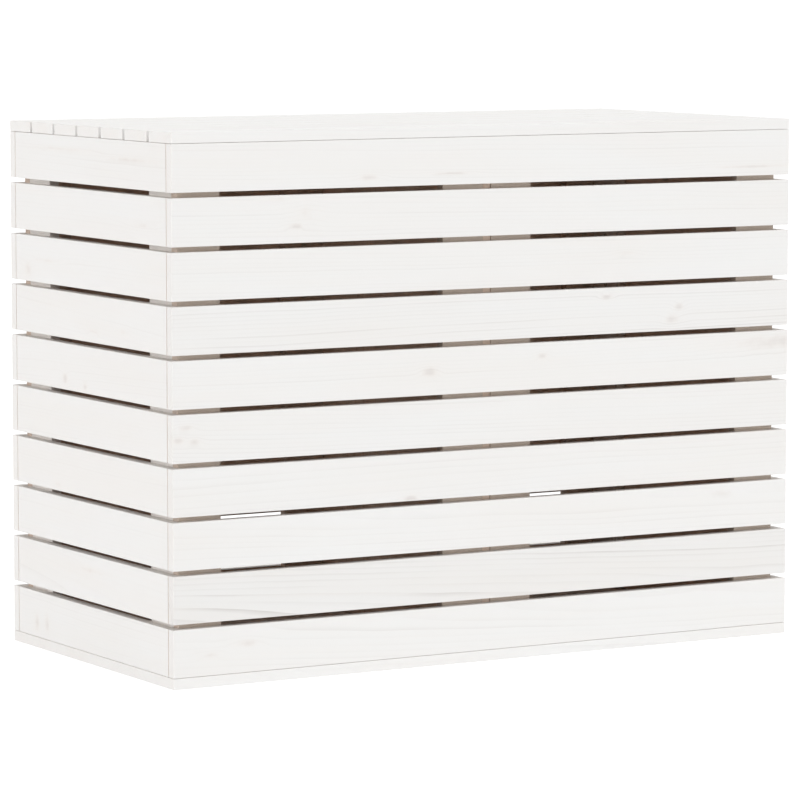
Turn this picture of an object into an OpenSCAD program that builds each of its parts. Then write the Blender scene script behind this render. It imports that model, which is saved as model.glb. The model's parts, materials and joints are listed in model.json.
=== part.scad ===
// Slatted wooden toy box: two compartments under one hinged lid.
// Frame: X runs along the width, -Y is the front, +Z is up. The origin is the
// middle of the footprint, hinge knuckles included, on the surface it stands on.

/* [Boards] */
// Width of every slat
slat_w = 47; // [40:1:60]
// Open gap between two neighbouring slats
slat_gap = 5; // [3:0.5:8]
// Thickness of the slats, battens and base
board_t = 11; // [9:0.5:14]
// Thickness of the divider panel
divider_t = 9; // [6:0.5:12]

/* [Box] */
// Outer width of the box, left to right
box_w = 718; // [640:1:900]
// Slats stacked in each wall
wall_rows = 10; // [6:1:10]
// Slats side by side in the lid
lid_rows = 7; // [5:1:7]

/* [Lid] */
// Distance of the four lid battens from the middle, as inner and outer pair
lid_batten_x = [112, 272]; // [90:1:280]
// Room between the lid battens and the walls
lid_batten_room = 12; // [6:1:20]

/* [Hinges] */
// Distance of each hinge from the middle
hinge_x = 196; // [185:1:205]
// Length of a hinge along its pin
hinge_len = 60; // [45:1:70]
// Thickness of the hinge leaves
leaf_t = 1.2; // [1:0.1:1.5]
// Radius of the hinge knuckles
knuckle_r = 3.4; // [3:0.1:4]
// Radius of the hinge pins
hinge_pin_r = 1.5; // [1.2:0.1:1.8]
// Radial running clearance of a pin in its knuckles
pin_play = 0.05; // [0.02:0.01:0.1]
// Height of the leaf on the back of the box
box_leaf_h = 30; // [24:1:36]
// Reach of the leaf under the lid
lid_leaf_reach = 32; // [26:1:38]

/* [Screws] */
// Shank radius of the wood screws
screw_r = 1.6; // [1.3:0.1:2]
// Head radius of the wood screws
screw_head_r = 3.4; // [3:0.1:4]
// Length of the wood screws under their head
screw_len = 17; // [14:0.5:18]
// Head radius of the hinge screws
hinge_screw_head_r = 2.7; // [2.2:0.1:3]
// Length of the hinge screws under their head
hinge_screw_len = 8; // [6:0.5:9]

/* [Hidden] */
$fn = 48;
pitch = slat_w + slat_gap;
box_d = lid_rows * pitch - slat_gap;
wall_h = wall_rows * pitch - slat_gap;
base_t = board_t;
lid_t = board_t;
wall_z = base_t;
lid_z = wall_z + wall_h;

// The hinge knuckles stand behind the back wall, a hair clear of the wood.
axis_gap = 0.3;
hinge_proud = axis_gap + 2 * knuckle_r;
front_y = -(box_d + hinge_proud) / 2;
back_y = front_y + box_d;
right_x = box_w / 2;
mid_y = (front_y + back_y) / 2;
axis_y = back_y + axis_gap + knuckle_r;
axis_z = lid_z;

// Battens: at each corner, beside the divider, and on the side walls.
batten_room = 1;
batten_h = wall_h - batten_room;
corner_batten_x = right_x - board_t - slat_w / 2;
middle_batten_x = (divider_t + slat_w) / 2;
wall_batten_xs = [-corner_batten_x, -middle_batten_x, middle_batten_x, corner_batten_x];
side_batten_y = box_d / 2 - 2 * board_t - slat_w / 2;
lid_batten_xs = [-lid_batten_x[1], -lid_batten_x[0], lid_batten_x[0], lid_batten_x[1]];
lid_batten_len = box_d - 2 * (board_t + lid_batten_room);
divider_room = 1;
divider_drop = 6;
divider_h = wall_h - divider_drop;

// Screws
head_h = 1.8;
head_dome = 0.4;
head_sunk = 0.6;
shank_room = 0.03;
tip_room = 0.5;
head_taper = 0.7;
base_screw_inset = 60;
base_screw_n = 4;
// The end slats overlap the walls, so their screws stand further in.
end_screw_inset = 12;

// Hinges: five knuckles, the outer ones on the box leaf.
knuckle_n = 5;
knuckle_gap = 0.3;
knuckle_len = hinge_len / knuckle_n;
hinge_screw_inset = 9;
hinge_screw_spread = hinge_len / 2 - hinge_screw_inset;
leaf_recess = leaf_t + 0.2;
leaf_play = 0.6;
leaf_row_step = 11;
box_leaf_first_row = 13;
lid_leaf_first_row = 6;
knuckle_root = 2;

// Height of the middle of wall slat i, counted from 1 at the bottom.
function row_z(i) = wall_z + (i - 1) * pitch + slat_w / 2;

// Depth of the middle of lid slat i, counted from 1 at the front.
function lid_row_y(i) = front_y + (i - 1) * pitch + slat_w / 2;

function knuckle_x(k) = (k - (knuckle_n - 1) / 2) * knuckle_len;

// A board given by its middle and its full size.
module board(middle, size) {
    translate(middle) cube(size, center = true);
}

// A wood screw along -Z with its seat on z = 0 and its domed head proud of it.
module wood_screw(r, head_r, len) {
    rotate_extrude()
        polygon([
            [0, -len],
            [r, -len + 2 * r],
            [r, -head_h],
            [head_r, 0],
            [head_r * head_taper, head_dome],
            [0, head_dome]
        ]);
}

// The hole that a wood screw fills, countersunk at z = 0.
module screw_hole(r, head_r, len) {
    translate([0, 0, -len - tip_room]) cylinder(r = r + shank_room, h = len + 2 * tip_room);
    translate([0, 0, -head_h]) cylinder(r1 = r + shank_room, r2 = head_r + shank_room, h = head_h);
    cylinder(r = head_r + shank_room, h = 2 * head_sunk);
}

// Puts children at every front wall screw: head inside, point towards the front.
module at_front_screws(rows) {
    for (x = wall_batten_xs, i = rows)
        translate([x, front_y + 2 * board_t, row_z(i)]) rotate([-90, 0, 0]) children();
}

module at_back_screws(rows) {
    for (x = wall_batten_xs, i = rows)
        translate([x, back_y - 2 * board_t, row_z(i)]) rotate([90, 0, 0]) children();
}

// side is -1 for the left wall and 1 for the right wall.
module at_side_screws(side, rows) {
    for (y = [-side_batten_y, side_batten_y], i = rows)
        translate([side * (right_x - 2 * board_t), mid_y + y, row_z(i)])
            rotate([0, -side * 90, 0]) children();
}

// Base screws come up through the base into the bottom slats.
module at_base_screws() {
    run_x = box_w - 2 * base_screw_inset;
    for (k = [0:base_screw_n - 1], y = [front_y + board_t / 2, back_y - board_t / 2])
        translate([-run_x / 2 + k * run_x / (base_screw_n - 1), y, head_sunk])
            rotate([180, 0, 0]) children();
    for (s = [-1, 1], y = [-side_batten_y, side_batten_y])
        translate([s * (right_x - board_t / 2), mid_y + y, head_sunk])
            rotate([180, 0, 0]) children();
}

module at_lid_screws(rows) {
    for (x = lid_batten_xs, i = rows)
        translate([x, lid_screw_y(i), lid_z - board_t]) rotate([180, 0, 0]) children();
}

function lid_screw_y(i) =
    i == 1 ? lid_row_y(1) + slat_w / 2 - end_screw_inset :
    i == lid_rows ? lid_row_y(lid_rows) - slat_w / 2 + end_screw_inset :
    lid_row_y(i);

module at_hinges() {
    for (s = [-1, 1]) translate([s * hinge_x, 0, 0]) children();
}

// The four screw places of one box leaf, for a hinge in the middle.
module at_box_leaf_holes() {
    for (x = [-hinge_screw_spread, hinge_screw_spread], k = [0, 1])
        translate([x, back_y + leaf_t, axis_z - box_leaf_first_row - k * leaf_row_step])
            rotate([-90, 0, 0]) children();
}

module at_lid_leaf_holes() {
    for (x = [-hinge_screw_spread, hinge_screw_spread], k = [0, 1])
        translate([x, back_y - board_t - lid_leaf_first_row - k * leaf_row_step, lid_z])
            rotate([180, 0, 0]) children();
}

module hinge_screw_hole() {
    screw_hole(screw_r, hinge_screw_head_r, hinge_screw_len);
}

module wall_screw_hole() {
    screw_hole(screw_r, screw_head_r, screw_len);
}

// --- Walls ---

module front_slat(i) {
    color("gainsboro") difference() {
        board([0, front_y + board_t / 2, row_z(i)], [box_w, board_t, slat_w]);
        at_front_screws([i]) wall_screw_hole();
        if (i == 1) at_base_screws() wall_screw_hole();
    }
}

module back_slat(i) {
    color("gainsboro") difference() {
        board([0, back_y - board_t / 2, row_z(i)], [box_w, board_t, slat_w]);
        at_back_screws([i]) wall_screw_hole();
        if (i == 1) at_base_screws() wall_screw_hole();
        if (i == wall_rows)
            at_hinges() at_box_leaf_holes() hinge_screw_hole();
    }
}

// side is -1 for the left wall and 1 for the right wall.
module side_slat(side, i) {
    color("lightgray") difference() {
        board(
            [side * (right_x - board_t / 2), mid_y, row_z(i)],
            [board_t, box_d - 2 * board_t, slat_w]
        );
        at_side_screws(side, [i]) wall_screw_hole();
        if (i == 1) at_base_screws() wall_screw_hole();
    }
}

module base_panel() {
    color("silver") difference() {
        board([0, mid_y, base_t / 2], [box_w, box_d, base_t]);
        at_base_screws() wall_screw_hole();
    }
}

// --- Inside ---

module wall_battens(y) {
    for (x = wall_batten_xs)
        board([x, y, wall_z + batten_h / 2], [slat_w, board_t, batten_h]);
}

module front_battens() {
    color("tan") difference() {
        wall_battens(front_y + board_t * 1.5);
        at_front_screws([1:wall_rows]) wall_screw_hole();
    }
}

module back_battens() {
    color("tan") difference() {
        wall_battens(back_y - board_t * 1.5);
        at_back_screws([1:wall_rows]) wall_screw_hole();
    }
}

module side_battens() {
    color("burlywood") for (side = [-1, 1]) difference() {
        for (y = [-side_batten_y, side_batten_y])
            board(
                [side * (right_x - 1.5 * board_t), mid_y + y, wall_z + batten_h / 2],
                [board_t, slat_w, batten_h]
            );
        at_side_screws(side, [1:wall_rows]) wall_screw_hole();
    }
}

// The divider stands on the base in the grooves between the middle battens.
module divider_panel() {
    color("peru")
        board(
            [0, mid_y, wall_z + divider_h / 2],
            [divider_t, box_d - 2 * board_t - 2 * divider_room, divider_h]
        );
}

// --- Lid ---

module lid_slat(i) {
    color("whitesmoke") difference() {
        board([0, lid_row_y(i), lid_z + lid_t / 2], [box_w, slat_w, lid_t]);
        at_lid_screws([i]) wall_screw_hole();
        if (i == lid_rows) {
            at_hinges() lid_leaf_recess();
            at_hinges() at_lid_leaf_holes() hinge_screw_hole();
        }
    }
}

module lid_leaf_recess() {
    board(
        [0, back_y - lid_leaf_reach / 2, lid_z],
        [hinge_len + leaf_play, lid_leaf_reach + leaf_play, 2 * leaf_recess]
    );
}

module lid_battens() {
    color("tan") difference() {
        for (x = lid_batten_xs)
            board([x, mid_y, lid_z - board_t / 2], [slat_w, lid_batten_len, board_t]);
        at_lid_screws([1:lid_rows]) wall_screw_hole();
    }
}

// --- Hinges ---

// A knuckle barrel around the pin's axis, longer or wider by grow all round.
module knuckle(k, grow) {
    translate([knuckle_x(k), axis_y, axis_z]) rotate([0, 90, 0])
        cylinder(r = knuckle_r + grow, h = knuckle_len - knuckle_gap + 2 * grow, center = true);
}

module pin_bore() {
    translate([0, axis_y, axis_z]) rotate([0, 90, 0])
        cylinder(r = hinge_pin_r + pin_play, h = 2 * hinge_len, center = true);
}

module hinge_box_leaves() {
    color("darkgray") at_hinges() difference() {
        union() {
            board(
                [0, back_y + leaf_t / 2, axis_z - box_leaf_h / 2],
                [hinge_len, leaf_t, box_leaf_h]
            );
            for (k = [0, 2, 4]) {
                knuckle(k, 0);
                board(
                    [knuckle_x(k), back_y + knuckle_r / 2, axis_z - knuckle_r / 2],
                    [knuckle_len - knuckle_gap, knuckle_r, knuckle_r]
                );
            }
        }
        for (k = [1, 3]) knuckle(k, knuckle_gap);
        pin_bore();
        at_box_leaf_holes() hinge_screw_hole();
    }
}

module hinge_lid_leaves() {
    color("darkgray") at_hinges() difference() {
        union() {
            board(
                [0, back_y - lid_leaf_reach / 2, lid_z + leaf_t / 2],
                [hinge_len, lid_leaf_reach, leaf_t]
            );
            for (k = [1, 3]) {
                knuckle(k, 0);
                board(
                    [knuckle_x(k), (back_y + axis_y) / 2, lid_z + leaf_t / 2],
                    [knuckle_len - knuckle_gap, axis_y - back_y + knuckle_root, leaf_t]
                );
            }
        }
        pin_bore();
        at_lid_leaf_holes() hinge_screw_hole();
    }
}

module hinge_pins() {
    color("dimgray") at_hinges()
        translate([0, axis_y, axis_z]) rotate([0, 90, 0])
            cylinder(r = hinge_pin_r, h = hinge_len, center = true);
}

// --- Screws ---

module box_screws() {
    color("silver") {
        at_front_screws([1:wall_rows]) wood_screw(screw_r, screw_head_r, screw_len);
        at_back_screws([1:wall_rows]) wood_screw(screw_r, screw_head_r, screw_len);
        for (side = [-1, 1])
            at_side_screws(side, [1:wall_rows]) wood_screw(screw_r, screw_head_r, screw_len);
        at_base_screws() wood_screw(screw_r, screw_head_r, screw_len);
    }
}

module lid_screws() {
    color("silver") at_lid_screws([1:lid_rows]) wood_screw(screw_r, screw_head_r, screw_len);
}

module hinge_box_screws() {
    color("silver") at_hinges() at_box_leaf_holes()
        wood_screw(screw_r, hinge_screw_head_r, hinge_screw_len);
}

module hinge_lid_screws() {
    color("silver") at_hinges() at_lid_leaf_holes()
        wood_screw(screw_r, hinge_screw_head_r, hinge_screw_len);
}

for (i = [1:wall_rows]) {
    front_slat(i);
    back_slat(i);
    side_slat(-1, i);
    side_slat(1, i);
}
for (i = [1:lid_rows])
    lid_slat(i);
base_panel();
divider_panel();
front_battens();
back_battens();
side_battens();
lid_battens();
hinge_box_leaves();
hinge_lid_leaves();
hinge_pins();
box_screws();
lid_screws();
hinge_box_screws();
hinge_lid_screws();
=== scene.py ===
import json
import math
import random

import bmesh
import bpy
from mathutils import Matrix, Vector


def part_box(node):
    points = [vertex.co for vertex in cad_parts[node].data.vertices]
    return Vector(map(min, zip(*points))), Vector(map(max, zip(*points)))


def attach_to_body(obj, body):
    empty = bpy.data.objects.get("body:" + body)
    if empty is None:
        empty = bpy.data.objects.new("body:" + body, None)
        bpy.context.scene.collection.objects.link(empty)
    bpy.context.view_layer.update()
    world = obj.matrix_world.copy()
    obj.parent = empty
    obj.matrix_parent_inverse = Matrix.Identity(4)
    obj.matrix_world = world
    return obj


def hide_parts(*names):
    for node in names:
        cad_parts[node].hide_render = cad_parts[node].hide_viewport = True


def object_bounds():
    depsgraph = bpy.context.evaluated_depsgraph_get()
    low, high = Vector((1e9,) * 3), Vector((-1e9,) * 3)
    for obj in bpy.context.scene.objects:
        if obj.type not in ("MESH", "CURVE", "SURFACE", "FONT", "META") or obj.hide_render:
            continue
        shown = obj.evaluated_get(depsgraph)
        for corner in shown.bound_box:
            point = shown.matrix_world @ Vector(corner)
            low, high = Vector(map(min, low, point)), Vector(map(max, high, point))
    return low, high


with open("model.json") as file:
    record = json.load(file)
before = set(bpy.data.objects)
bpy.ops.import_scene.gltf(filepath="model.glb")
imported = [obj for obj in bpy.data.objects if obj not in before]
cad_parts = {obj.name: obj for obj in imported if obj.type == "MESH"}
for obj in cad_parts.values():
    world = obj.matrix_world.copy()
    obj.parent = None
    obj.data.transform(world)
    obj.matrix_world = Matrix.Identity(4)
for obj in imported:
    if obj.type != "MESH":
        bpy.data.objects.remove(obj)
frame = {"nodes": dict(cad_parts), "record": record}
cad_low, cad_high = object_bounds()

# A slatted toy box: every board is rebuilt with eased edges around its CAD solid, in pine
# with a white wash outside and bare wood inside, on the frame's own joints and places.

RECORD = frame["record"]
SLOTS = {part["node"]: part["material_slot"] for part in RECORD["subparts"]}
BODY_OF = {
    node: body for body, nodes in RECORD["behaviour"]["bodies"].items() for node in nodes
}
LAST_LID_SLAT = max((n for n in SLOTS if n.startswith("lid_slat_")), key=lambda n: int(n[9:]))

# --- Shapes ---

MM = 0.001

# Points and faces nearer to each other than this are in the same place.
SAME_PLACE = 0.01 * MM

# The rounding of a board's edges, and the room to its neighbours at its faces and at its ends.
EASE = 0.6 * MM
EASE_STEPS = 3
JOINT_ROOM = 0.12 * MM
END_ROOM = 1.05 * MM

# A face is one of a board's six flat ones if this much of its normal lies along one axis, and
# it looks along that axis if this much does.
FLAT = 0.999
MOSTLY = 0.75

# How much large faces count in smooth shading: 50 as much as small ones, 100 the most.
FLAT_WEIGHT = 100

# The recesses for the hinge leaves: room at their sides and over them, the rounding in their
# corners, and how far the cut goes past the slat's own faces.
LEAF_THICK = 1.2 * MM
LEAF_SIDE_ROOM = 0.3 * MM
LEAF_TOP_ROOM = 0.2 * MM
RECESS_EASE = 0.2 * MM
CUT_PAST = 1 * MM

# The broken edges of the hinges: their width, and the angle from which an edge is broken.
LEAF_BEVEL = 0.25 * MM
LEAF_BEVEL_STEPS = 2
LEAF_SHARP = math.radians(40)

# Screw heads: their corners round the edge, the dome over the rim, the cone under it, and the
# angle from which an edge stays sharp.
HEAD_STEPS = 28
HEAD_DOME = 0.4 * MM
HEAD_SINK = 1.8 * MM
HEAD_SHARP = math.radians(35)

# Points of a screw that are farther from its middle than this share of its width are its rim.
RIM = 0.49

# Each point of a head's outline, from the cone to the dome: share of its radius, and height.
HEAD_OUTLINE = [
    (0.45, -HEAD_SINK),
    (1.0, 0.0),
    (0.97, 0.12 * MM),
    (0.82, 0.3 * MM),
    (0.45, HEAD_DOME),
]

# The cross in a head: half its slots' width, its reach as a share of the head's radius, its
# depth under the dome, and the height that it is cut down from.
CROSS_HALF_WIDTH = 0.42 * MM
CROSS_REACH = 0.62
CROSS_DEPTH = 1.0 * MM
CROSS_TOP = 2 * MM

# The most that a screw is turned, in radians.
SCREW_TURN = 1.5

# --- Wood: how each board was cut from its log ---

# The pith of the log: how far it lies beside a board, as a share of the board's width, but
# of WIDEST_CUT at most, which makes most grain run straight; and how far under it, in mm.
BESIDE_PITH = (0.4, 1.5)
WIDEST_CUT = 60 * MM
BELOW_PITH = (18, 60)

# The steepest that a board leans from the pith, across and deep, and the length of the log
# that boards are cut from, in metres.
LEAN_ACROSS = 0.02
LEAN_DEPTH = 0.03
LOG_LENGTH = 40

# Boards whose pith is set: across and deep, in mm.
PITH = {"front_slat_2": (-30, 45)}

# Boards whose grain shows more than on the others.
BOLD_GRAIN = {
    "front_slat_10": 1.6,
    "front_slat_9": 2.0,
    "front_slat_8": 2.0,
    "front_slat_7": 3.0,
    "front_slat_6": 1.8,
    "front_slat_5": 2.4,
    "front_slat_4": 1.9,
    "front_slat_3": 1.6,
    "front_slat_2": 5.2,
    "front_slat_1": 2.0,
}

# Knots on the front and the left side: along the board from its middle, across it from its
# middle line, their half length and half height, in mm, and how faint each is.
KNOTS_PER_BOARD = 3
KNOTS = {
    "front_slat_10": [
        (-141, -14, 12, 3.2, 0.5),
        (-47, -12, 18, 1.3, 0.3),
        (312, -14, 46, 1.5, 0.5),
    ],
    "front_slat_9": [(-224, -7, 8, 3, 0.35), (-211, 4, 12, 9, 0.95), (-245, 20, 11, 2, 0.8)],
    "front_slat_8": [(159, 6, 11, 3, 0.85)],
    "front_slat_7": [(135, 14, 6.5, 2.5, 0.0), (223, 1, 6, 4, 0.5), (216, -12, 9, 5, 0.55)],
    "front_slat_6": [(-73, 0, 8, 5, 0.2), (58, 10, 6, 3.2, 0.2), (352, 12, 62, 8, 0.55)],
    "front_slat_5": [(-344, 11, 8, 3, 0.5), (-353, -1, 6, 3, 0.5), (-336, -3, 6, 3, 0.5)],
    "front_slat_4": [(-95, -20, 8, 2.5, 0.3)],
    "front_slat_3": [(278, 14, 12, 4, 0.9)],
    "front_slat_2": [],
    "front_slat_1": [(-278, 5, 13, 4, 0.65), (-319, -3, 10, 3.5, 0.7)],
    "left_slat_10": [(-95, 5, 55, 2, 0.85), (62, 10, 55, 2, 0.85)],
    "left_slat_9": [(-118, -6, 22, 3, 0.85)],
    "left_slat_8": [(139, -12, 10, 8, 0.7), (97, 0, 26, 2.5, 0.85)],
    "left_slat_7": [(-9, -12, 10, 2.5, 0.85), (-75, -8, 10, 3, 0.85)],
    "left_slat_6": [(55, -12, 5.5, 5.5, 0.3), (10, -17, 5, 3, 0.4)],
    "left_slat_5": [],
    "left_slat_4": [(73, -17, 9, 3, 0.85)],
    "left_slat_3": [],
    "left_slat_2": [(2, 8, 22, 3, 0.85)],
    "left_slat_1": [(125, -9, 6.5, 9, 0.5), (101, -6, 6.5, 9, 0.5)],
}

# Knots on all the other boards: their number, how far from the middle they lie as a share of
# the board, their half length in mm, their height as a share of it, and how faint they are.
KNOT_COUNTS = [0, 1, 1, 2]
KNOT_ALONG = 0.46
KNOT_ACROSS = 0.4
KNOT_HALF = (4, 9)
KNOT_HEIGHT = 0.45
KNOT_FAINT = (0.1, 0.5)

# The distance, in a knot's radii, that stands for no knot at all.
NO_KNOT = 50.0

# --- Wood: how it looks ---

EARLY_WOOD = (0.84, 0.66, 0.53, 1)
LATE_WOOD = (0.66, 0.43, 0.29, 1)
KNOT_WOOD = (0.27, 0.17, 0.13, 1)
# The grey that battens are mixed towards as painted shade.
SHADE_GREY = (0.54, 0.49, 0.44, 1)
WASH = (0.783, 0.785, 0.779, 1)
PINK_WASH = (0.780, 0.776, 0.764, 1)
GRAIN_GREY = (0.42, 0.40, 0.38, 1)

# How much of the wash a board holds outside and on its inner face, and the way that face looks.
# On the battens this share is painted light and shade.
WASH_AND_PAINTED_LIGHT = {
    "front_slat": (1.0, 0.25, Vector((0, 1, 0))),
    "back_slat": (1.0, 0.25, Vector((0, -1, 0))),
    "left_slat": (1.0, 0.25, Vector((1, 0, 0))),
    "right_slat": (1.0, 0.25, Vector((-1, 0, 0))),
    "lid_slat": (1.0, 0.25, Vector((0, 0, -1))),
    "base_panel": (1.0, 0.8, Vector((0, 0, 1))),
    # Painted light: the side battens hold far more wash than the front ones. This lighter copy of
    # the batten wood stands for the light from the left that falls on them through the side gaps.
    # Painted shade: the front battens hold almost none. This darker copy stands for the weaker
    # light that reaches them through the front gaps.
    "side_battens": (0.9, 0.9, None),
    "front_battens": (0.04, 0.04, None),
    "back_battens": (0.1, 0.1, None),
    "lid_battens": (0.15, 0.15, None),
    "divider_panel": (0.25, 0.25, None),
}

# The most that the narrow faces between two wall slats hold, which darkens them a little as
# painted shade in the gaps, and ends hidden in a joint.
GAP_WASH = 0.93
HIDDEN_END_WASH = 0.2

# Battens mixed towards a grey wood colour, and by how much. On the front battens this is painted
# shade: a darker, greyer copy of the batten wood for the weaker light that reaches them through
# the front gaps. The back and lid battens are greyed less.
SHADE_GREYED = {"front_battens": 0.72, "back_battens": 0.5, "lid_battens": 0.3}

# Noise that is drawn out along the board: how often it changes per metre along the board, how
# often across it, and its detail. All noise has the same roughness.
NOISE_ROUGHNESS = 0.5
SWAY = (2.2, 11, 3.0)
FIBRE = (16, 1500, 2.0)
CLOUD = (4, 25, 3.0)
BRUSH = (7, 160, 3.0)
PATCH = (5, 80, 2.0)

# The ragged rim of knots: its changes per metre, their detail, and how deep they are, in the
# knot's radii.
RAGGED = 90
RAGGED_DETAIL = 2.0
RAGGED_BY = 0.9

# A knot and the stained wood round it: how far along its fade each is after one radius, and
# the fade from the middle outwards.
KNOT_FALLOFF = 0.8
KNOT_FADE = [(0.0, 1.0), (0.4, 0.85), (0.75, 0.25), (1.0, 0.0)]
HALO_FALLOFF = 0.33
HALO_FADE = [(0.0, 1.0), (0.3, 0.8), (0.7, 0.15), (1.0, 0.0)]

# Annual rings: their width, and how many of them the sway, each board and a knot shift.
RING_WIDTH = 3.4 * MM
RINGS_SWAYED = 3.4
RINGS_SHIFTED = 9.0
RINGS_BENT = 1.3

# A ring darkens slowly towards its late wood and ends suddenly. The faintest ring is this
# share of the darkest.
RING_FADE = [(0.0, 0.0), (0.55, 0.05), (0.88, 0.75), (0.95, 1.0), (1.0, 0.0)]
FAINTEST_RING = 0.18

# Bare wood: how much of the darker colours each mark brings in. Fibre noise over its middle
# darkens the wood, and under it lightens it.
DARKENS = {"late": 0.75, "fibre": 0.35, "board": 0.22, "halo": 0.3, "knot": 0.85}
FIBRE_MIDDLE = 0.4

# The wash: how much of the wood it covers, how much each mark adds to that, and which cloud
# noise tints it pink.
WASH_COVER = 0.97
COVERS = {
    "late": -0.008,
    "brush": -0.05,
    "cloud": -0.05,
    "knot": -0.15,
    "halo": -0.03,
    "edge": -0.02,
}
PINK_FADE = [(0.35, 0.0), (0.65, 1.0)]

# Grey streaks of late wood that show through the wash in patches, and the even grey that
# boards with bold grain have between them.
PATCH_FADE = [(0.38, 0.15), (0.62, 1.0)]
STREAKS = 0.11
BOLD_GREY = 0.019

# Roughness of the wood, and how much each mark adds to it and to the height of the surface.
# A bump has a strength and a distance.
PINE_ROUGHNESS = 0.50
ROUGHENS = {"fibre": 0.12, "late": -0.05, "cover": 0.02}
RAISES = {"late": 0.5, "fibre": 0.35, "brush": 0.3, "knot": 0.4}
PINE_BUMP = (0.35, 0.25 * MM)
PINE_SPECULAR = 0.35

# --- Steel ---

HINGE_BRIGHT = (0.52, 0.525, 0.53, 1)
HINGE_DULL = (0.36, 0.362, 0.368, 1)
SCREW_BRIGHT = (0.68, 0.66, 0.59, 1)
SCREW_DULL = (0.50, 0.48, 0.42, 1)

# Noise as for the wood, but drawn out along X: marks of the drawing, and blotches.
DRAWN = (60, 2500, 2.0)
BLOTCH = (180, 180, 3.0)
ZINC_ROUGHNESS = 0.26
ZINC_ROUGHENS = {"blotch": 0.2, "drawn": 0.06}
ZINC_BUMP = (0.2, 0.05 * MM)

# --- Stage ---

WHITE = (1, 1, 1, 1)

# The floor: its radius in metres, its corners, how far it lies under the object, so that the
# two don't share a plane, and its own glow, which makes it as white as the backdrop.
FLOOR_RADIUS = 400.0
FLOOR_STEPS = 64
FLOOR_ROOM = 0.2 * MM
FLOOR_COLOUR = (0.5, 0.5, 0.5, 1)
FLOOR_GLOW = 0.62


# --- Boards ---


def solids(node):
    """The points of each separate solid of a CAD node, in a fixed order."""
    bm = bmesh.new()
    bm.from_mesh(frame["nodes"][node].data)
    bmesh.ops.remove_doubles(bm, verts=bm.verts, dist=SAME_PLACE)
    bm.verts.index_update()
    bm.verts.ensure_lookup_table()
    seen, found = set(), []
    for first in bm.verts:
        if first.index in seen:
            continue
        seen.add(first.index)
        group, waiting = [], [first]
        while waiting:
            vert = waiting.pop()
            group.append(vert.co.copy())
            for edge in vert.link_edges:
                other = edge.other_vert(vert)
                if other.index not in seen:
                    seen.add(other.index)
                    waiting.append(other)
        found.append(group)
    bm.free()
    return found


def corners(points):
    low = Vector(min(p[i] for p in points) for i in range(3))
    high = Vector(max(p[i] for p in points) for i in range(3))
    return low, high


def random_knots(chance, length, width):
    """Up to two knots anywhere on a board, in the same terms as KNOTS."""
    knots = []
    for _ in range(chance.choice(KNOT_COUNTS)):
        along = chance.uniform(-KNOT_ALONG, KNOT_ALONG) * length / MM
        across = chance.uniform(-KNOT_ACROSS, KNOT_ACROSS) * width / MM
        half = chance.uniform(*KNOT_HALF)
        knots.append((along, across, half, KNOT_HEIGHT * half, chance.uniform(*KNOT_FAINT)))
    return knots


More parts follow.
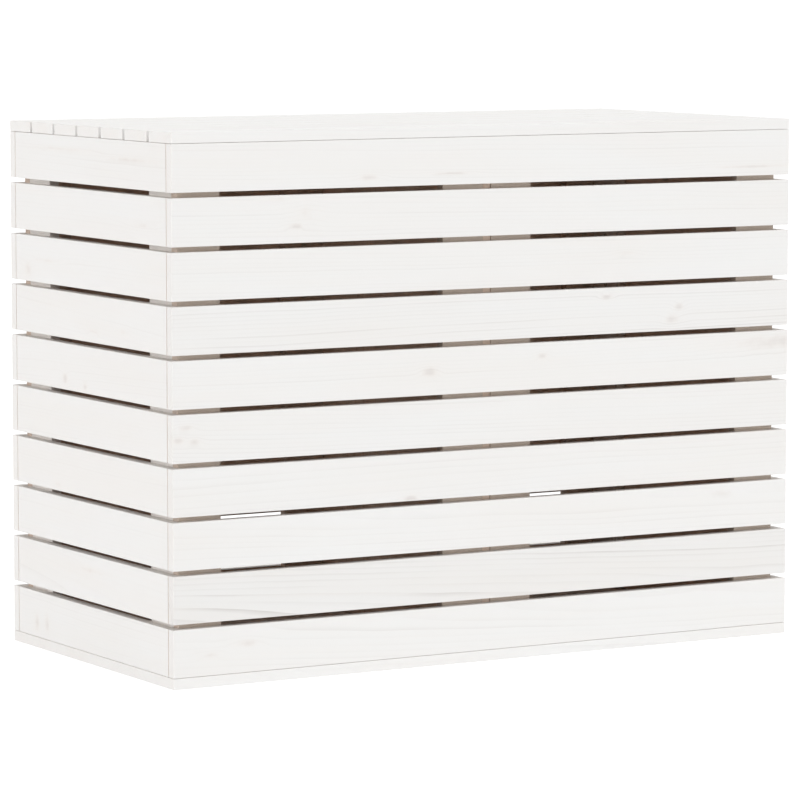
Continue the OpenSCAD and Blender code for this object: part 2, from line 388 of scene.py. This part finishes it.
class Board:
    """One board: its box, its own run of grain and its knots."""

    def __init__(self, low, high, node, k):
        self.low, self.high = low, high
        self.wash = next(wash for start, wash in WASH_AND_PAINTED_LIGHT.items() if node.startswith(start))
        self.grey = SHADE_GREYED.get(node, 0.0)
        self.middle = (low + high) / 2
        size = high - low
        by_size = sorted(range(3), key=lambda i: size[i])
        self.depth_axis, self.across_axis, self.along_axis = by_size
        length, width = size[self.along_axis], size[self.across_axis]
        chance = random.Random(f"{node}/{k}")
        beside = chance.uniform(*BESIDE_PITH) * min(width, WIDEST_CUT)
        self.pith_across = chance.choice([-1, 1]) * beside
        self.pith_depth = chance.choice([-1, 1]) * chance.uniform(*BELOW_PITH) * MM
        if node in PITH:
            self.pith_across, self.pith_depth = (x * MM for x in PITH[node])
        self.lean_across = chance.uniform(-LEAN_ACROSS, LEAN_ACROSS)
        self.lean_depth = chance.uniform(-LEAN_DEPTH, LEAN_DEPTH)
        self.shift = chance.uniform(0, LOG_LENGTH)
        self.chance = (chance.random(), chance.random(), BOLD_GRAIN.get(node, 1.0))
        knots = KNOTS[node] if node in KNOTS else random_knots(chance, length, width)
        self.knots = [([x * MM for x in place], faint) for *place, faint in knots]

    def local(self, point):
        p = point - self.middle
        return p[self.along_axis], p[self.across_axis], p[self.depth_axis]

    def grain(self, point):
        """Place in the log: along it, and across and deep from its pith."""
        along, across, depth = self.local(point)
        return (
            along + self.shift,
            across - self.pith_across - self.lean_across * along,
            depth - self.pith_depth - self.lean_depth * along,
        )

    def knot(self, point, which):
        """Place from a knot's middle, in its own radii, and as a third distance its faintness."""
        if which >= len(self.knots):
            return NO_KNOT, NO_KNOT, 0.0
        along, across, _ = self.local(point)
        (at, up, half_length, half_height), faint = self.knots[which]
        return (along - at) / half_length, (across - up) / half_height, faint

    def outside(self, normal):
        """Whether the face that looks this way lies on the outside of the whole object."""
        axis = max(range(3), key=lambda i: abs(normal[i]))
        if normal[axis] > 0:
            return self.high[axis] > cad_high[axis] - SAME_PLACE
        return self.low[axis] < cad_low[axis] + SAME_PLACE

    def shrunk(self):
        """Low and high corner with a hair of room to the neighbours, and more at the ends."""
        low, high = self.low.copy(), self.high.copy()
        for axis in range(3):
            way = Vector(float(i == axis) for i in range(3))
            room = END_ROOM if axis == self.along_axis else JOINT_ROOM
            high[axis] -= 0 if self.outside(way) else room
            low[axis] += 0 if self.outside(-way) else room
        return low, high

    def side(self, normal):
        """A face's share of the white wash, 1 on an edge or an end, and its share of grey, which
        is painted shade on the front battens.
        """
        outer, inner, inward = self.wash
        flat = max(abs(c) for c in normal) > FLAT
        end = abs(normal[self.along_axis]) > MOSTLY
        upright = self.across_axis == 2
        wash = outer
        if flat and end and not self.outside(normal):
            wash = min(outer, HIDDEN_END_WASH)
        elif flat and inward is not None and normal.dot(inward) > MOSTLY:
            wash = inner
        # Painted shade: the faces inside the gaps between wall slats hold a little less wash.
        elif flat and upright and abs(normal[self.across_axis]) > MOSTLY:
            wash = min(outer, GAP_WASH)
        return wash, 1.0 if end or not flat else 0.0, self.grey


def mesh_from(bm, name):
    """A mesh made of a bmesh, which is freed."""
    mesh = bpy.data.meshes.new(name)
    bm.to_mesh(mesh)
    bm.free()
    return mesh


def add_object(name, data):
    obj = bpy.data.objects.new(name, data)
    bpy.context.scene.collection.objects.link(obj)
    return obj


def eased_box(low, high, ease):
    """A box with rounded edges, as a bmesh."""
    bm = bmesh.new()
    bmesh.ops.create_cube(bm, size=1.0)
    for v in bm.verts:
        v.co = Vector((low[i] + high[i]) / 2 + v.co[i] * (high[i] - low[i]) for i in range(3))
    bmesh.ops.bevel(
        bm, geom=bm.edges[:], offset=ease, segments=EASE_STEPS, profile=0.5, affect="EDGES"
    )
    return bm


def apply_modifiers(obj):
    """Replaces the object's mesh by what its modifiers make of it."""
    graph = bpy.context.evaluated_depsgraph_get()
    made = bpy.data.meshes.new_from_object(obj.evaluated_get(graph), depsgraph=graph)
    obj.modifiers.clear()
    obj.data = made


def carve(obj, boxes):
    """Cuts boxes, given by their low and high corners, out of the object."""
    for low, high in boxes:
        cutter = add_object("cutter", mesh_from(eased_box(low, high, RECESS_EASE), "cutter"))
        cut = obj.modifiers.new("recess", "BOOLEAN")
        cut.operation, cut.solver, cut.object = "DIFFERENCE", "EXACT", cutter
        bpy.context.view_layer.update()
        apply_modifiers(obj)
        bpy.data.objects.remove(cutter)


def leaf_recesses():
    """The boxes that the hinge leaves are let into under the last lid slat."""
    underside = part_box(LAST_LID_SLAT)[0].z
    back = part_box(LAST_LID_SLAT)[1].y
    top = underside + LEAF_THICK + LEAF_TOP_ROOM
    found = []
    for points in solids("hinge_lid_leaves"):
        low, high = corners(points)
        start = Vector((low.x - LEAF_SIDE_ROOM, low.y - LEAF_SIDE_ROOM, underside - CUT_PAST))
        end = Vector((high.x + LEAF_SIDE_ROOM, back + CUT_PAST, top))
        found.append((start, end))
    return found


def clamp_to(point, low, high):
    return Vector(min(max(point[i], low[i]), high[i]) for i in range(3))


def describe(mesh, boards):
    """Writes each board's grain, knots and sides onto the mesh for the wood shader."""

    def owner(point):
        return min(boards, key=lambda b: (point - clamp_to(point, b.low, b.high)).length_squared)

    def write(name, domain, rows):
        layer = mesh.attributes.new(name, "FLOAT_VECTOR", domain)
        layer.data.foreach_set("vector", [x for row in rows for x in row])

    points = [v.co.copy() for v in mesh.vertices]
    owners = [owner(point) for point in points]
    write("grain", "POINT", [board.grain(point) for board, point in zip(owners, points)])
    write("chance", "POINT", [board.chance for board in owners])
    for k in range(KNOTS_PER_BOARD):
        rows = [board.knot(point, k) for board, point in zip(owners, points)]
        write(f"knot_{k}", "POINT", rows)
    write("side", "FACE", [owners[f.vertices[0]].side(f.normal) for f in mesh.polygons])


def attach(piece, node):
    """The piece stands for a CAD node: it rides on the same body, and the node is hidden."""
    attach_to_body(piece, BODY_OF[node])
    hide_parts(node)


def build_boards(node):
    """One piece with every board of a CAD node."""
    boards = [Board(*corners(points), node, k) for k, points in enumerate(solids(node))]
    joined = bmesh.new()
    for board in boards:
        part = mesh_from(eased_box(*board.shrunk(), EASE), "part")
        joined.from_mesh(part)
        bpy.data.meshes.remove(part)
    piece = add_object(node + "_wood", mesh_from(joined, node + "_wood"))
    if node == LAST_LID_SLAT:
        carve(piece, leaf_recesses())
    describe(piece.data, boards)
    piece.data.materials.append(WOOD[SLOTS[node]])
    # Smooth shading that keeps the flat faces flat.
    piece.data.shade_smooth()
    piece.modifiers.new("flat faces", "WEIGHTED_NORMAL").weight = FLAT_WEIGHT
    attach(piece, node)


# --- Shaders ---


class Shader:
    """A material with short names for the nodes that it is made of."""

    def __init__(self, name):
        self.material = bpy.data.materials.new(name)
        self.material.use_nodes = True
        self.tree = self.material.node_tree
        self.tree.nodes.clear()
        self.surface = self.node("ShaderNodeBsdfPrincipled")
        output = self.node("ShaderNodeOutputMaterial")
        self.tree.links.new(self.surface.outputs[0], output.inputs["Surface"])

    def node(self, kind, **settings):
        made = self.tree.nodes.new(kind)
        for key, value in settings.items():
            setattr(made, key, value)
        return made

    def put(self, socket, value):
        if isinstance(value, bpy.types.NodeSocket):
            self.tree.links.new(value, socket)
        else:
            socket.default_value = value

    def finish(self, **values):
        """Sets inputs of the surface, named with _ for each space."""
        for name, value in values.items():
            self.put(self.surface.inputs[name.replace("_", " ")], value)

    def math(self, operation, *values, clamp=False):
        made = self.node("ShaderNodeMath", operation=operation, use_clamp=clamp)
        for socket, value in zip(made.inputs, values):
            self.put(socket, value)
        return made.outputs[0]

    def add(self, *values):
        total = values[0]
        for value in values[1:]:
            total = self.math("ADD", total, value)
        return total

    def times(self, *values):
        total = values[0]
        for value in values[1:]:
            total = self.math("MULTIPLY", total, value)
        return total

    def attribute(self, name):
        return self.node("ShaderNodeAttribute", attribute_name=name).outputs["Vector"]

    def split(self, vector):
        made = self.node("ShaderNodeSeparateXYZ")
        self.put(made.inputs[0], vector)
        return made.outputs

    def combine(self, x, y, z):
        made = self.node("ShaderNodeCombineXYZ")
        for socket, value in zip(made.inputs, (x, y, z)):
            self.put(socket, value)
        return made.outputs[0]

    def noise(self, where, detail):
        made = self.node("ShaderNodeTexNoise")
        self.put(made.inputs["Vector"], where)
        self.put(made.inputs["Scale"], 1.0)
        self.put(made.inputs["Detail"], detail)
        self.put(made.inputs["Roughness"], NOISE_ROUGHNESS)
        return made.outputs["Fac"]

    def drawn_out(self, place, slow, fast, detail):
        """Noise that changes slowly along the first way of a place and fast along the others."""
        x, y, z = place
        where = self.combine(self.times(x, slow), self.times(y, fast), self.times(z, fast))
        return self.noise(where, detail)

    def centred(self, noise):
        """Noise, which runs from 0 to 1, moved to run round 0."""
        return self.add(noise, -0.5)

    def ramp(self, value, stops):
        """A value looked up between stops, each a place and the value there."""
        made = self.node("ShaderNodeValToRGB")
        points = made.color_ramp.elements
        for place, grey in stops[1:-1]:
            points.new(place).color = (grey, grey, grey, 1)
        for point, (place, grey) in ((points[0], stops[0]), (points[-1], stops[-1])):
            point.position, point.color = place, (grey, grey, grey, 1)
        self.put(made.inputs[0], value)
        return made.outputs["Color"]

    def mix(self, share, a, b):
        """Colour a with a share of colour b in it."""
        made = self.node("ShaderNodeMix", data_type="RGBA")
        # The node has inputs for every type of data: 0 is the share, 6 and 7 are colours.
        self.put(made.inputs[0], share)
        self.put(made.inputs[6], a)
        self.put(made.inputs[7], b)
        return made.outputs[2]

    def bump(self, height, strength, distance):
        made = self.node("ShaderNodeBump")
        self.put(made.inputs["Height"], height)
        self.put(made.inputs["Strength"], strength)
        self.put(made.inputs["Distance"], distance)
        return made.outputs[0]


def knots_in(s, along, across, own):
    """How much of a knot, and of the stained wood round it, each place holds."""
    place = s.combine(s.times(along, RAGGED), s.times(across, RAGGED), own)
    rim = s.noise(place, RAGGED_DETAIL)
    near = NO_KNOT
    for k in range(KNOTS_PER_BOARD):
        away = s.node("ShaderNodeVectorMath", operation="LENGTH")
        s.put(away.inputs[0], s.attribute(f"knot_{k}"))
        near = s.math("MINIMUM", near, away.outputs["Value"])
    near = s.add(near, s.times(s.centred(rim), RAGGED_BY))
    knot = s.ramp(s.times(near, KNOT_FALLOFF), KNOT_FADE)
    halo = s.ramp(s.times(near, HALO_FALLOFF), HALO_FADE)
    return knot, halo


def late_wood_in(s, grain, own, halo):
    """The dark side of the annual rings, which sway along the board and bend round knots."""
    _, across, depth = grain
    radius = s.math("SQRT", s.add(s.times(across, across), s.times(depth, depth)))
    phase = s.add(
        s.times(radius, 1 / RING_WIDTH),
        s.times(s.drawn_out(grain, *SWAY), RINGS_SWAYED),
        s.times(own, RINGS_SHIFTED),
        s.times(halo, RINGS_BENT),
    )
    year = s.node("ShaderNodeTexWhiteNoise", noise_dimensions="1D")
    s.put(year.inputs["W"], s.math("FLOOR", phase))
    growth = s.times(year.outputs["Value"], year.outputs["Value"])
    strength = s.add(FAINTEST_RING, s.times(growth, 1 - FAINTEST_RING))
    return s.times(s.ramp(s.math("FRACT", phase), RING_FADE), strength)


def pine(name):
    """Pine under a white wash: rings, fibres and knots show through it faintly."""
    s = Shader(name)
    grain = s.split(s.attribute("grain"))
    own_rings, own_tone, bold = s.split(s.attribute("chance"))
    washed, edge, grey = s.split(s.attribute("side"))
    knot, halo = knots_in(s, grain[0], grain[1], own_rings)
    late = late_wood_in(s, grain, own_rings, halo)
    fibre = s.drawn_out(grain, *FIBRE)
    cloud = s.drawn_out(grain, *CLOUD)
    brush = s.drawn_out(grain, *BRUSH)

    rings = s.times(late, DARKENS["late"])
    fibres = s.times(s.add(fibre, -FIBRE_MIDDLE), DARKENS["fibre"])
    bare = s.mix(s.math("ADD", rings, fibres, clamp=True), EARLY_WOOD, LATE_WOOD)
    bare = s.mix(s.times(s.add(own_tone, cloud), DARKENS["board"]), bare, LATE_WOOD)
    bare = s.mix(s.times(halo, DARKENS["halo"]), bare, LATE_WOOD)
    bare = s.mix(s.times(knot, DARKENS["knot"]), bare, KNOT_WOOD)
    # Painted shade: battens are mixed towards a grey wood colour by their share of grey, most on
    # the front battens.
    bare = s.mix(grey, bare, SHADE_GREY)

    cover = s.add(
        WASH_COVER,
        s.times(late, bold, COVERS["late"]),
        s.times(s.centred(brush), COVERS["brush"]),
        s.times(s.centred(cloud), COVERS["cloud"]),
        s.times(knot, COVERS["knot"]),
        s.times(halo, COVERS["halo"]),
        s.times(edge, COVERS["edge"]),
    )
    # The wash share also carries painted light and shade: the lit look of the side battens, the
    # shade on the front battens and the shade in the gaps between wall slats.
    cover = s.times(cover, washed)
    colour = s.mix(cover, bare, s.mix(s.ramp(cloud, PINK_FADE), WASH, PINK_WASH))

    shows = s.ramp(s.drawn_out(grain, *PATCH), PATCH_FADE)
    streaks = s.add(s.times(late, shows, bold, STREAKS), s.times(s.add(bold, -1), BOLD_GREY))
    colour = s.mix(s.times(streaks, washed), colour, GRAIN_GREY)

    marks = {"late": late, "fibre": fibre, "brush": brush, "knot": knot, "cover": cover}
    roughness = [s.times(marks[mark], share) for mark, share in ROUGHENS.items()]
    relief = [s.times(marks[mark], share) for mark, share in RAISES.items()]
    s.finish(
        Base_Color=colour,
        Roughness=s.add(PINE_ROUGHNESS, *roughness),
        Specular_IOR_Level=PINE_SPECULAR,
        Normal=s.bump(s.add(*relief), *PINE_BUMP),
    )
    return s.material


def zinc(name, bright, dull):
    """Zinc plated steel with a faint drawn grain along X."""
    s = Shader(name)
    place = s.split(s.node("ShaderNodeTexCoord").outputs["Object"])
    marks = {"blotch": s.drawn_out(place, *BLOTCH), "drawn": s.drawn_out(place, *DRAWN)}
    roughness = [s.times(marks[mark], share) for mark, share in ZINC_ROUGHENS.items()]
    s.finish(
        Base_Color=s.mix(marks["blotch"], bright, dull),
        Metallic=1.0,
        Roughness=s.add(ZINC_ROUGHNESS, *roughness),
        Normal=s.bump(marks["drawn"], *ZINC_BUMP),
    )
    return s.material


WOOD = {name: pine(name) for name in ("whitewashed_pine", "inner_pine")}
HINGE_STEEL = zinc("hinge_steel", HINGE_BRIGHT, HINGE_DULL)
SCREW_STEEL = zinc("screw_steel", SCREW_BRIGHT, SCREW_DULL)


# --- Metal ---


def screw_shape(radius):
    """A countersunk head along +Z with a cross recess, its seat on z = 0, as points and faces."""
    bm = bmesh.new()
    turns = [2 * math.pi * k / HEAD_STEPS for k in range(HEAD_STEPS)]
    rings = []
    for share, z in HEAD_OUTLINE:
        r = share * radius
        rings.append([bm.verts.new((r * math.cos(a), r * math.sin(a), z)) for a in turns])
    for low, high in zip(rings, rings[1:]):
        for k in range(HEAD_STEPS):
            n = (k + 1) % HEAD_STEPS
            bm.faces.new((low[k], low[n], high[n], high[k]))
    bm.faces.new(rings[-1])
    bm.faces.new(list(reversed(rings[0])))
    screw = add_object("screw", mesh_from(bm, "screw"))
    slot, reach, bottom = CROSS_HALF_WIDTH, CROSS_REACH * radius, HEAD_DOME - CROSS_DEPTH
    carve(screw, [
        (Vector((-x, -y, bottom)), Vector((x, y, CROSS_TOP)))
        for x, y in ((slot, reach), (reach, slot))
    ])
    points = [v.co.copy() for v in screw.data.vertices]
    faces = [list(f.vertices) for f in screw.data.polygons]
    bpy.data.objects.remove(screw)
    return points, faces


def screw_places(node):
    """Each screw's seat, the way its head looks, and its head's radius."""
    places = []
    for points in solids(node):
        low, high = corners(points)
        size, middle = high - low, (low + high) / 2
        axis = max(range(3), key=lambda i: size[i])
        across = (axis + 1) % 3
        # The head is the wide end.
        wide = [p for p in points if (p - middle)[across] > RIM * size[across]]
        way = 1 if sum(p[axis] for p in wide) / len(wide) > middle[axis] else -1
        look = Vector((0, 0, 0))
        look[axis] = way
        head = middle.copy()
        head[axis] = (high if way > 0 else low)[axis]
        places.append((head - look * HEAD_DOME, look, size[across] / 2))
    return places


def build_screws(node):
    """One piece with every screw head of a CAD node, each turned by its own angle."""
    places = screw_places(node)
    points, faces = screw_shape(places[0][2])
    chance = random.Random(node)
    all_points, all_faces = [], []
    for seat, look, _ in places:
        facing = look.to_track_quat("Z", "Y").to_matrix().to_4x4()
        spin = Matrix.Rotation(chance.uniform(0, SCREW_TURN), 4, "Z")
        turn = Matrix.Translation(seat) @ facing @ spin
        start = len(all_points)
        all_points += [turn @ p for p in points]
        all_faces += [[start + i for i in face] for face in faces]
    mesh = bpy.data.meshes.new(node + "_heads")
    mesh.from_pydata(all_points, [], all_faces)
    piece = add_object(node + "_heads", mesh)
    mesh.materials.append(SCREW_STEEL)
    mesh.shade_smooth()
    mesh.set_sharp_from_angle(angle=HEAD_SHARP)
    attach(piece, node)


def refine_hinges(node):
    """The CAD piece itself, with broken edges."""
    metal = frame["nodes"][node]
    metal.data.materials.clear()
    metal.data.materials.append(HINGE_STEEL)
    metal.modifiers.new("joined faces", "WELD").merge_threshold = SAME_PLACE
    rounding = metal.modifiers.new("broken edges", "BEVEL")
    rounding.width, rounding.segments = LEAF_BEVEL, LEAF_BEVEL_STEPS
    rounding.limit_method, rounding.angle_limit = "ANGLE", LEAF_SHARP
    rounding.harden_normals = True


for node in sorted(SLOTS):
    if SLOTS[node] in WOOD:
        build_boards(node)
    elif node.endswith("screws"):
        build_screws(node)
    else:
        refine_hinges(node)


# --- Stage, light and camera ---


def floor():
    """A plain white floor that reaches past the horizon of any view."""
    bm = bmesh.new()
    bmesh.ops.create_circle(bm, cap_ends=True, segments=FLOOR_STEPS, radius=FLOOR_RADIUS)
    ground = add_object("floor", mesh_from(bm, "floor"))
    ground.location.z = -FLOOR_ROOM
    s = Shader("floor_white")
    s.finish(
        Base_Color=FLOOR_COLOUR,
        Roughness=1.0,
        Specular_IOR_Level=0.0,
        Emission_Color=WHITE,
        Emission_Strength=FLOOR_GLOW,
    )
    ground.data.materials.append(s.material)


def sky(left, right, left_x, right_x):
    """White light from all round behind a plain white backdrop.

    Its strength goes from left to right between two directions, which are given by their x.
    """
    world = bpy.data.worlds.new("studio")
    bpy.context.scene.world = world
    world.use_nodes = True
    nodes, link = world.node_tree.nodes, world.node_tree.links.new
    place = nodes.new("ShaderNodeTexCoord")
    split = nodes.new("ShaderNodeSeparateXYZ")
    share = nodes.new("ShaderNodeMapRange")
    share.inputs["From Min"].default_value = left_x
    share.inputs["From Max"].default_value = right_x
    share.inputs["To Min"].default_value = left
    share.inputs["To Max"].default_value = right
    path = nodes.new("ShaderNodeLightPath")
    shown = nodes.new("ShaderNodeMath")
    shown.operation = "MAXIMUM"
    link(place.outputs["Generated"], split.inputs[0])
    link(split.outputs["X"], share.inputs["Value"])
    link(share.outputs[0], shown.inputs[0])
    link(path.outputs["Is Camera Ray"], shown.inputs[1])
    nodes["Background"].inputs["Color"].default_value = WHITE
    link(shown.outputs[0], nodes["Background"].inputs["Strength"])


def bearing(azimuth, elevation):
    """The way from the object towards an azimuth, 0 in front and -90 on its left, and a height."""
    a, e = math.radians(azimuth), math.radians(elevation)
    return Vector((math.sin(a) * math.cos(e), -math.cos(a) * math.cos(e), math.sin(e)))


def look_back(obj, way):
    """Turns a light or a camera that stands this way from the object towards it."""
    obj.rotation_mode = "QUATERNION"
    obj.rotation_quaternion = (-way).to_track_quat("-Z", "Y")


def sun(name, azimuth, elevation, strength, width, colour):
    """A soft light far away, width degrees across."""
    light = bpy.data.lights.new(name, "SUN")
    light.energy, light.color, light.angle = strength, colour, math.radians(width)
    look_back(add_object(name, light), bearing(azimuth, elevation))


def camera(azimuth, elevation, aim, distance, lens):
    data = bpy.data.cameras.new("camera")
    data.sensor_width, data.lens = 36.0, lens
    data.clip_start, data.clip_end = 0.1, 1000.0
    cam = add_object("camera", data)
    back = bearing(azimuth, elevation)
    cam.location = Vector(aim) + back * distance
    look_back(cam, back)
    bpy.context.scene.camera = cam


floor()
sky(left=0.08, right=0.985, left_x=-1.0, right_x=0.2)
sun("key", azimuth=-6, elevation=70, strength=1.07, width=40, colour=(1, 1, 1))
sun("side", azimuth=-80, elevation=12, strength=1.19, width=30, colour=(1, 0.97, 0.955))
camera(
    azimuth=-30.26,
    elevation=5.80,
    aim=(-0.0026, -0.0043, 0.2473),
    distance=4.483,
    lens=195.1,
)
bpy.context.scene.view_settings.view_transform = "Standard"
# Light gets into the box through narrow gaps only, so it bounces often.
bpy.context.scene.cycles.diffuse_bounces = 10
bpy.context.scene.cycles.max_bounces = 16
